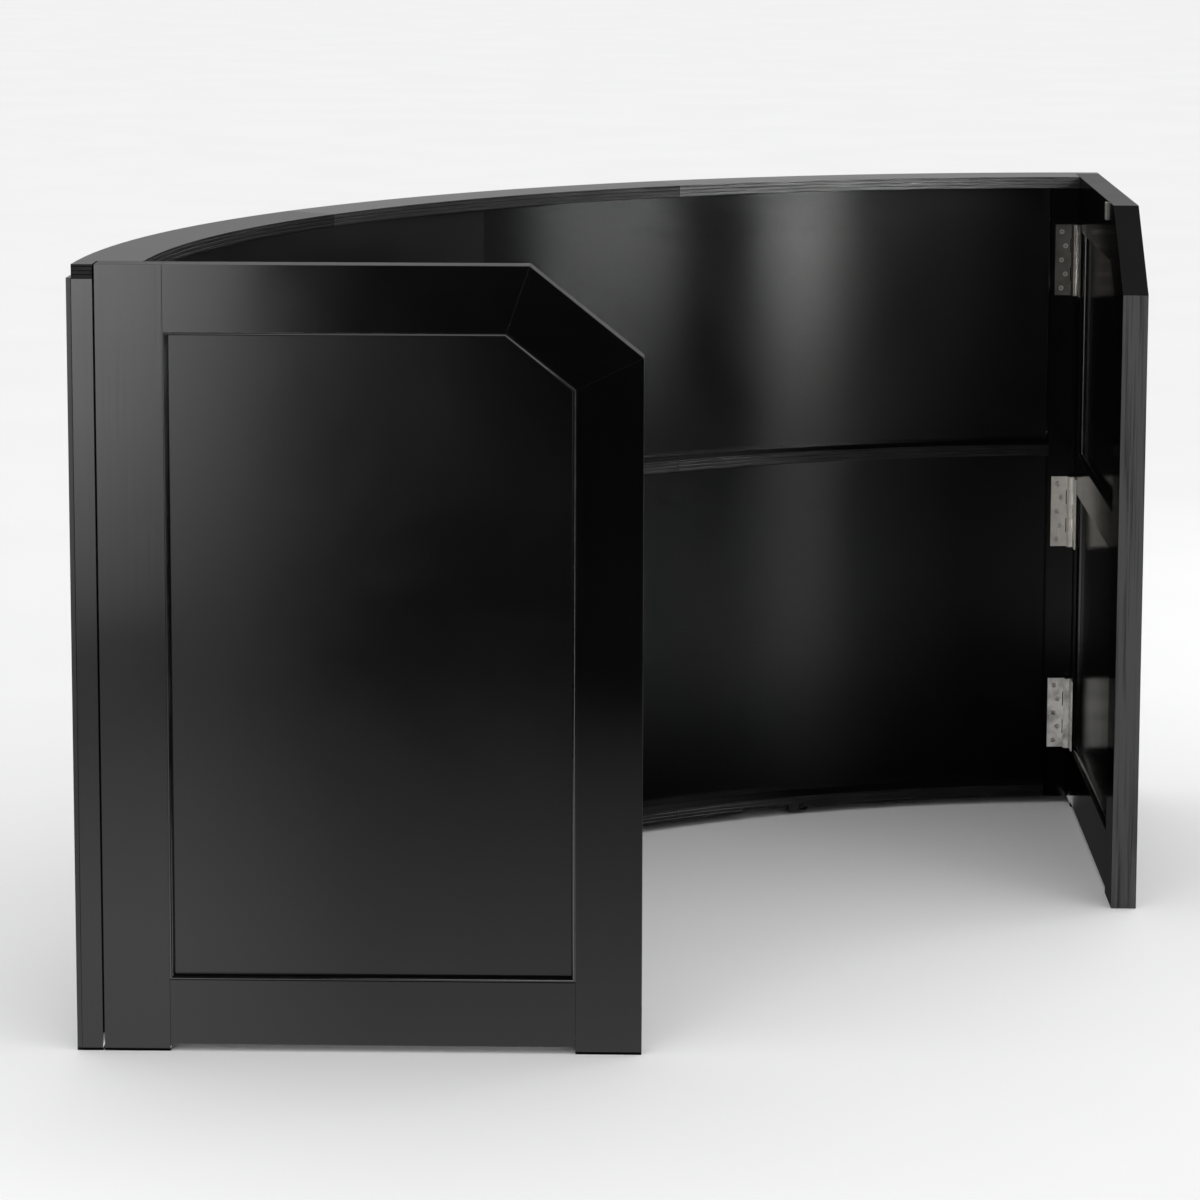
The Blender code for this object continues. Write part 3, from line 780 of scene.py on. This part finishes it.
def add_softbox(name, place, target, size, radiance, diffuse=False):
    data = bpy.data.lights.new(name, "AREA")
    data.shape = "RECTANGLE"
    data.size, data.size_y = size
    data.energy = 4.0 * size[0] * size[1] * radiance
    lamp = bpy.data.objects.new(name, data)
    bpy.context.scene.collection.objects.link(lamp)
    lamp.location = place
    lamp.rotation_euler = (Vector(target) - Vector(place)).to_track_quat("-Z", "Y").to_euler()
    lamp.visible_camera = False
    lamp.visible_diffuse = diffuse
    return lamp


def add_glow(name, place, size, radiance, turn=0.0):
    """A softbox just above the floor that shines straight up, its length turned from Y."""
    lamp = add_softbox(name, place, HERE, size, radiance)
    lamp.rotation_euler = (math.pi, 0, turn)
    return lamp


def shade(lamp, *ramps):
    """Lets a light's strength change over its face; the ramps are multiplied."""
    lamp.data.use_nodes = True
    n = Tree(lamp.data.node_tree)
    place = n.add("ShaderNodeNewGeometry").outputs["Position"]
    strength = None
    for ramp in ramps:
        share = n.remap(n.dot(place, ramp.axis), ramp.start, ramp.stop)
        curve = n.math("POWER", share, ramp.power)
        level = n.remap(curve, 0.0, 1.0, ramp.at_start, ramp.at_stop)
        strength = level if strength is None else n.math("MULTIPLY", strength, level)
    n.feed(n.tree.nodes["Emission"].inputs["Strength"], strength)


def add_wing_lights(name, side):
    """The softbox beside a wing's public face and the lit floor in front of it."""
    wing_out = (side * DIAGONAL, -DIAGONAL, 0)
    across = (-side * SIDE_GLOW_ALONG[0], -SIDE_GLOW_ALONG[1], 0)
    key = add_softbox(
        f"{name}_key",
        place=(side * 3.441, -1.408, 0.75),
        target=(side * 0.77, -0.18, 0.75),
        size=(1.2, 1.5),
        radiance=3.2,
        diffuse=True,
    )
    shade(key, Ramp(UP, 0.0, 0.7, 0.34, 1.0, 1.2), Ramp(across, -0.74, -0.62, 1.0, 0.64))
    # The right one stops at the wing's free end, which keeps it out of the bay's reflections.
    # It is also clear of the gap under the wing, so none of it shows on the wall's end.
    # Glows that overlap lie at different heights.
    place, length = {
        "left": ((-1.40, -1.00, 0.003), 1.7),
        "right": ((1.65, -0.87, 0.012), 1.16),
    }[name]
    glow = add_glow(f"{name}_floor_glow", place, (length, 2.1), 0.75, side * WING_ANGLE)
    shade(glow, Ramp(wing_out, 0.67, 2.9, 1.0, 0.07))
    place = (side * 1.98, -0.80, 0.004)
    beside = add_glow(f"{name}_side_glow", place, (0.8, 2.6), 0.5, side * SIDE_GLOW_TURN)
    shade(beside, Ramp(across, -0.60, -0.30, 1.0, 0.0), Ramp(wing_out, 0.67, 1.3, 0.5, 1.0))


def add_bay_lights():
    """Boxes that draw upright highlights on the hollow side of the wall."""
    over = add_softbox(
        "over_bay",
        place=(0.54, -3.6, 2.4),
        target=(0.46, 0.3, 1.0),
        size=(0.9, 1.6),
        radiance=38.0,
    )
    shade(over, Ramp(UP, 1.65, 2.6, 0.35, 1.0))
    strip = add_softbox(
        "bay_strip",
        place=(0.47, -4.0, 0.2),
        target=(0.47, 0.3, 0.2),
        size=(0.5, 1.8),
        radiance=4.3,
    )
    shade(strip, Ramp(UP, -0.6, 0.44, 0.13, 1.0, 6.5))
    broad = add_softbox(
        "bay_broad",
        place=(2.19, -4.0, 0.6),
        target=(0.4, 0.3, 0.6),
        size=(1.3, 1.0),
        radiance=2.0,
    )
    shade(broad, Ramp(UP, 0.1, 0.44, 0.1, 1.0, 1.2))
    low = add_softbox(
        "bay_low",
        place=(1.0, -4.0, -0.35),
        target=(0.3, 0.3, -0.35),
        size=(3.6, 0.7),
        radiance=0.45,
    )
    shade(low, Ramp(UP, -0.62, -0.15, 1.0, 0.05), Ramp((1, 0, 0), -0.8, 0.8, 0.2, 1.0))
    # The floor and the wings stand in the way of these three, so nothing shadows them.
    for lamp in (strip, broad, low):
        lamp.data.use_shadow = False
        lamp.data.cycles.use_multiple_importance_sampling = False


def add_back_lights():
    """Boxes and lit floor on the public side, for the curved skin."""
    size, radiance = (1.0, 2.2), 3.0
    add_softbox("back_left", (-1.9, 3.6, 1.3), (-0.3, 0.4, 0.7), size, radiance)
    add_softbox("back_right", (3.8, 0.9, 1.3), (0.7, 0.3, 0.7), size, radiance)
    glow = add_glow("back_glow", (0.0, 1.75, 0.003), (4.4, 2.3), 0.7)
    shade(glow, Ramp((0, 1, 0), 0.55, 2.8, 1.0, 0.1))


def add_lights():
    for name, side in SIDES.items():
        add_wing_lights(name, side)
    add_bay_lights()
    add_back_lights()


dress_wall()
for side_name in SIDES:
    dress_wing(side_name)
    dress_hinges(side_name)
add_camera()
add_floor()
add_world()
add_lights()
bpy.context.scene.view_settings.view_transform = "Standard"
